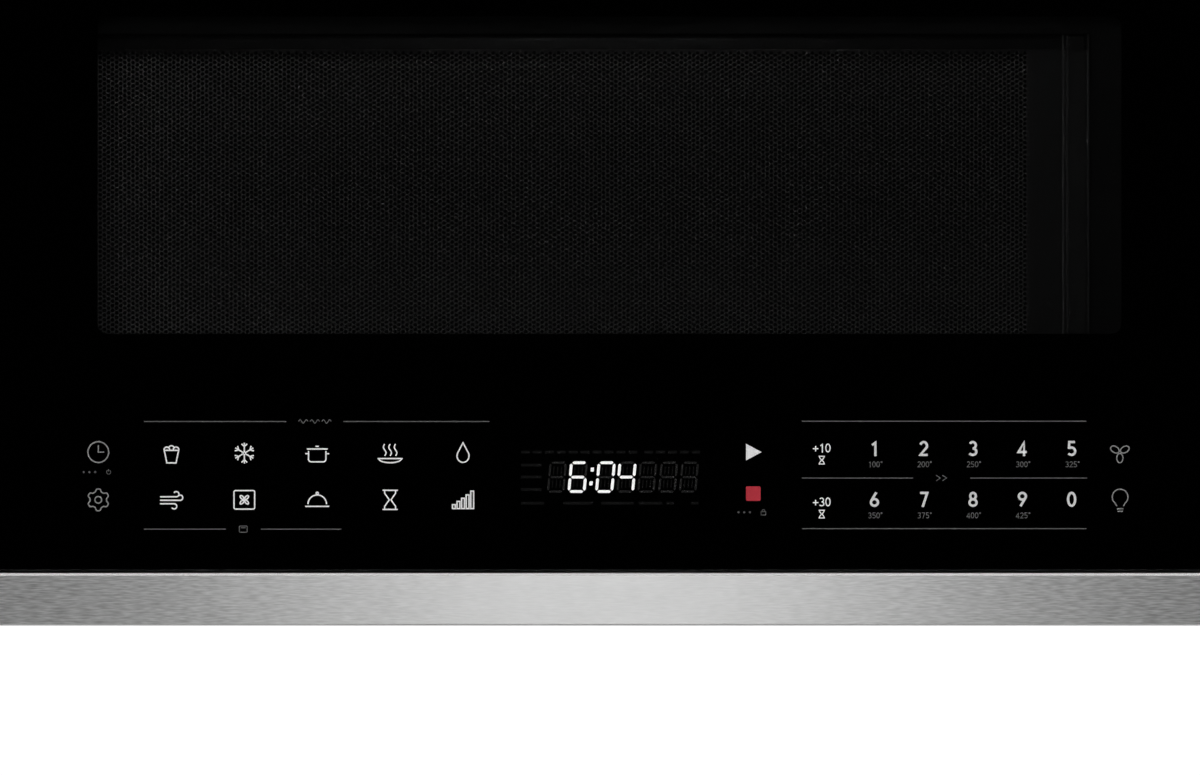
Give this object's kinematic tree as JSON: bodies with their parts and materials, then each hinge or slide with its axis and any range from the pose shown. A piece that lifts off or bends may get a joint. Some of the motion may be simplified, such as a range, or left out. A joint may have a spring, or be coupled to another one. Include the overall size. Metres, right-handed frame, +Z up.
{
  "type": "over the range microwave",
  "caption": "Low-profile over the range microwave oven with a full-width glass door, touch controls in the glass, turntable, convection fan, filters and a vertical exhaust.",
  "frame": {"origin": "middle of the footprint, at the level of the underside", "axes": "+X to the right seen from the front, +Y towards the wall, +Z up; the door faces -Y"},
  "size_m": [0.759, 0.469, 0.261],
  "materials": {
    "case_paint": "satin black powder coat",
    "stainless": "horizontal brushed grain",
    "galvanised_sheet": "plain zinc coated sheet",
    "oven_enamel": "smooth grey enamel",
    "door_glass": "polished, tinted, black print behind",
    "black_plastic": "fine moulded texture",
    "screen_paint": "semi-matt black paint",
    "clear_glass": "clear, polished",
    "white_plastic": "moulded",
    "filter_aluminium": "plain mill finish",
    "circuit_board": "green solder mask",
    "display_face": "black display face with white digits",
    "dark_steel": "dark zinc plate",
    "carbon": "carbon granules in a holder",
    "mica": "pale mineral sheet",
    "rubber": "moulded"
  },
  "bodies": {
    "cabinet": {"side_panel_left": "case_paint", "side_panel_right": "case_paint", "top_panel": "galvanised_sheet", "back_panel": "galvanised_sheet", "base_pan": "stainless", "wall_plate": "galvanised_sheet", "front_frame": "oven_enamel", "hinge_upper": "dark_steel", "hinge_lower": "dark_steel", "cavity_floor": "oven_enamel", "cavity_ceiling": "oven_enamel", "cavity_left_wall": "oven_enamel", "cavity_right_wall": "oven_enamel", "cavity_rear_wall": "oven_enamel", "cooktop_lamp": "circuit_board", "interlock_cradle": "white_plastic", "vent_grille": "black_plastic", "charcoal_filter": "carbon", "damper_frame": "galvanised_sheet", "blower_housing": "galvanised_sheet", "blower_motor": "dark_steel", "turntable_motor": "galvanised_sheet", "waveguide": "galvanised_sheet", "waveguide_cover": "mica", "magnetron": "filter_aluminium", "cooling_fan_shroud": "black_plastic", "inverter_supply": "circuit_board", "oven_lamp": "galvanised_sheet", "convection_housing": "galvanised_sheet", "convection_heater": "dark_steel", "convection_motor": "dark_steel", "cord_grommet": "rubber"},
    "door": {"door_glass": "door_glass", "door_trim": "stainless", "glass_carrier": "black_plastic", "door_frame": "screen_paint", "door_screen": "screen_paint", "choke_ring": "galvanised_sheet", "choke_cover": "black_plastic", "inner_window": "clear_glass", "control_board": "circuit_board", "display_module": "display_face", "latch_spring": "dark_steel"},
    "latch": {"latch_lever": "white_plastic"},
    "lower_plunger": {"lower_switch_plunger": "black_plastic"},
    "upper_plunger": {"upper_switch_plunger": "black_plastic"},
    "coupler": {"turntable_coupler": "white_plastic"},
    "tray": {"turntable_tray": "clear_glass"},
    "ring": {"roller_ring": "white_plastic"},
    "roller_1": {"roller_wheel_1": "white_plastic"},
    "roller_2": {"roller_wheel_2": "white_plastic"},
    "roller_3": {"roller_wheel_3": "white_plastic"},
    "blower_rotor": {"blower_wheel_left": "black_plastic", "blower_wheel_right": "black_plastic"},
    "cooling_fan": {"cooling_fan_wheel": "black_plastic"},
    "convection_fan": {"convection_fan_wheel": "galvanised_sheet"},
    "left_filter": {"grease_filter_left": "filter_aluminium"},
    "right_filter": {"grease_filter_right": "filter_aluminium"},
    "lamp_lens": {"lamp_cover": "clear_glass"},
    "exhaust_flap": {"damper_flap": "filter_aluminium"}
  },
  "joints": [
    {"name": "door_hinge", "type": "hinge", "parent": "cabinet", "child": "door", "pos_m": [-0.366, -0.212, 0.1355], "axis": [0, 0, -1], "range_deg": [0, 105]},
    {"name": "latch_lift", "type": "slide", "parent": "door", "child": "latch", "axis": [0, 0, 1], "range_m": [0, 0.005], "stiffness_N_per_m": 600, "springref_m": -0.008, "deforming": ["latch_spring"]},
    {"name": "lower_plunger_travel", "type": "slide", "parent": "cabinet", "child": "lower_plunger", "axis": [0, 1, 0], "range_m": [0, 0.0015], "stiffness_N_per_m": 300, "springref_m": -0.002},
    {"name": "upper_plunger_travel", "type": "slide", "parent": "cabinet", "child": "upper_plunger", "axis": [0, 1, 0], "range_m": [0, 0.0015], "stiffness_N_per_m": 300, "springref_m": -0.002},
    {"name": "turntable_spin", "type": "hinge", "parent": "cabinet", "child": "coupler", "pos_m": [-0.0555, -0.016, 0.07], "axis": [0, 0, 1], "continuous": true},
    {"name": "tray_lift", "type": "slide", "parent": "coupler", "child": "tray", "axis": [0, 0, 1], "range_m": [0, 0.05]},
    {"name": "roller_ring_spin", "type": "hinge", "parent": "cabinet", "child": "ring", "pos_m": [-0.0555, -0.016, 0.0743], "axis": [0, 0, 1], "continuous": true},
    {"name": "roller_1_spin", "type": "hinge", "parent": "ring", "child": "roller_1", "pos_m": [0.0345, -0.016, 0.0743], "axis": [1, 0, 0], "continuous": true},
    {"name": "roller_2_spin", "type": "hinge", "parent": "ring", "child": "roller_2", "pos_m": [-0.1005, 0.06194, 0.0743], "axis": [-0.5, 0.866, 0], "continuous": true},
    {"name": "roller_3_spin", "type": "hinge", "parent": "ring", "child": "roller_3", "pos_m": [-0.1005, -0.09394, 0.0743], "axis": [-0.5, -0.866, 0], "continuous": true},
    {"name": "blower_spin", "type": "hinge", "parent": "cabinet", "child": "blower_rotor", "pos_m": [0, 0.19575, 0.15], "axis": [1, 0, 0], "continuous": true},
    {"name": "cooling_fan_spin", "type": "hinge", "parent": "cabinet", "child": "cooling_fan", "pos_m": [0.2468, -0.056, 0.176], "axis": [0, 1, 0], "continuous": true},
    {"name": "convection_fan_spin", "type": "hinge", "parent": "cabinet", "child": "convection_fan", "pos_m": [-0.335, -0.016, 0.1485], "axis": [1, 0, 0], "continuous": true},
    {"name": "left_filter_hinge", "type": "hinge", "parent": "cabinet", "child": "left_filter", "pos_m": [-0.21, 0.1175, 0.0045], "axis": [1, 0, 0], "range_deg": [0, 70]},
    {"name": "right_filter_hinge", "type": "hinge", "parent": "cabinet", "child": "right_filter", "pos_m": [0.21, 0.1175, 0.0045], "axis": [1, 0, 0], "range_deg": [0, 70]},
    {"name": "lamp_cover_hinge", "type": "hinge", "parent": "cabinet", "child": "lamp_lens", "pos_m": [0, -0.1325, 0.003], "axis": [1, 0, 0], "range_deg": [0, 80]},
    {"name": "exhaust_flap_hinge", "type": "hinge", "parent": "cabinet", "child": "exhaust_flap", "pos_m": [0, 0.1463, 0.2485], "axis": [1, 0, 0], "range_deg": [0, 75]}
  ],
  "couplings": [
    {"joint": "roller_ring_spin", "follows": "turntable_spin", "ratio": 0.5},
    {"joint": "roller_1_spin", "follows": "turntable_spin", "ratio": -5.625},
    {"joint": "roller_2_spin", "follows": "turntable_spin", "ratio": -5.625},
    {"joint": "roller_3_spin", "follows": "turntable_spin", "ratio": -5.625}
  ]
}
